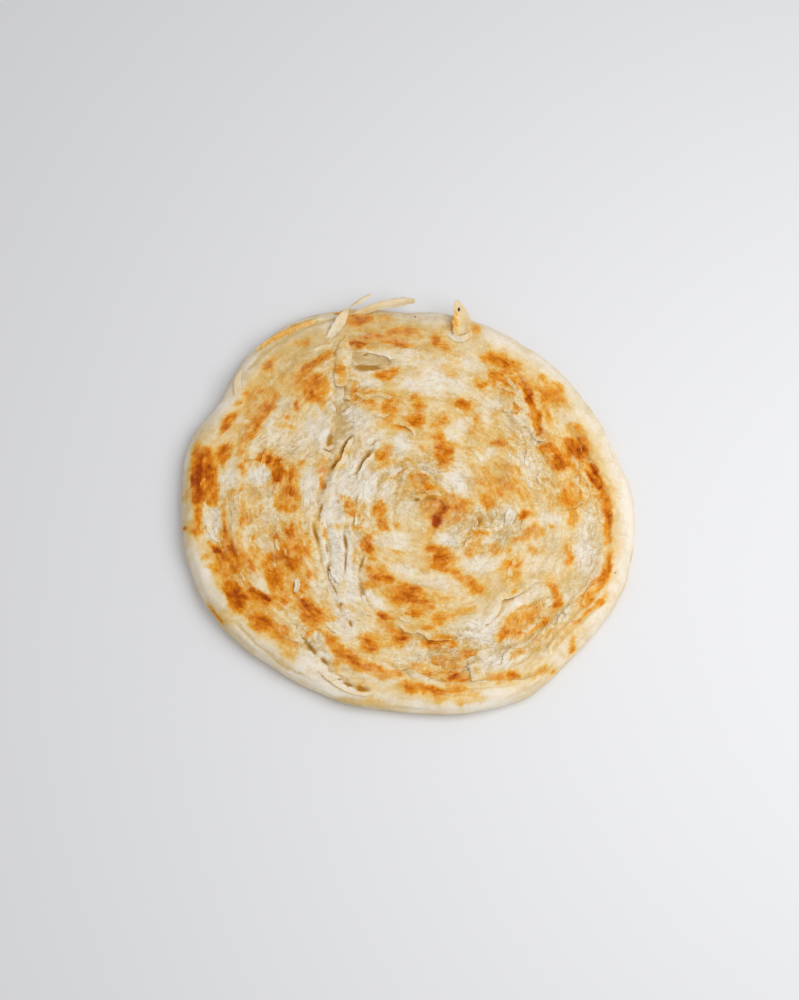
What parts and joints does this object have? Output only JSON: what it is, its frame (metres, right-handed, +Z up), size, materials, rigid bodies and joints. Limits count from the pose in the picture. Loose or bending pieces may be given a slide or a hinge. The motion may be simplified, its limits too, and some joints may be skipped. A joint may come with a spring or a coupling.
{
  "type": "malabar paratha flatbread",
  "caption": "Round flaky flatbread, coiled from pleated dough and pan fried in brown patches, lying flat to be served or eaten.",
  "frame": {"origin": "under the middle of the bread's outline, on the surface that it lies on", "axes": "+Z up out of the fried top side, +X across the bread's longest extent, -Y towards the side nearest to the viewer"},
  "size_m": [0.1703, 0.1623, 0.0137],
  "materials": {
    "dough": "soft flaky fried dough: pale cream with golden to red-brown patches, faint satin of oil"
  },
  "bodies": {
    "root": {"paratha": "dough"}
  },
  "joints": []
}
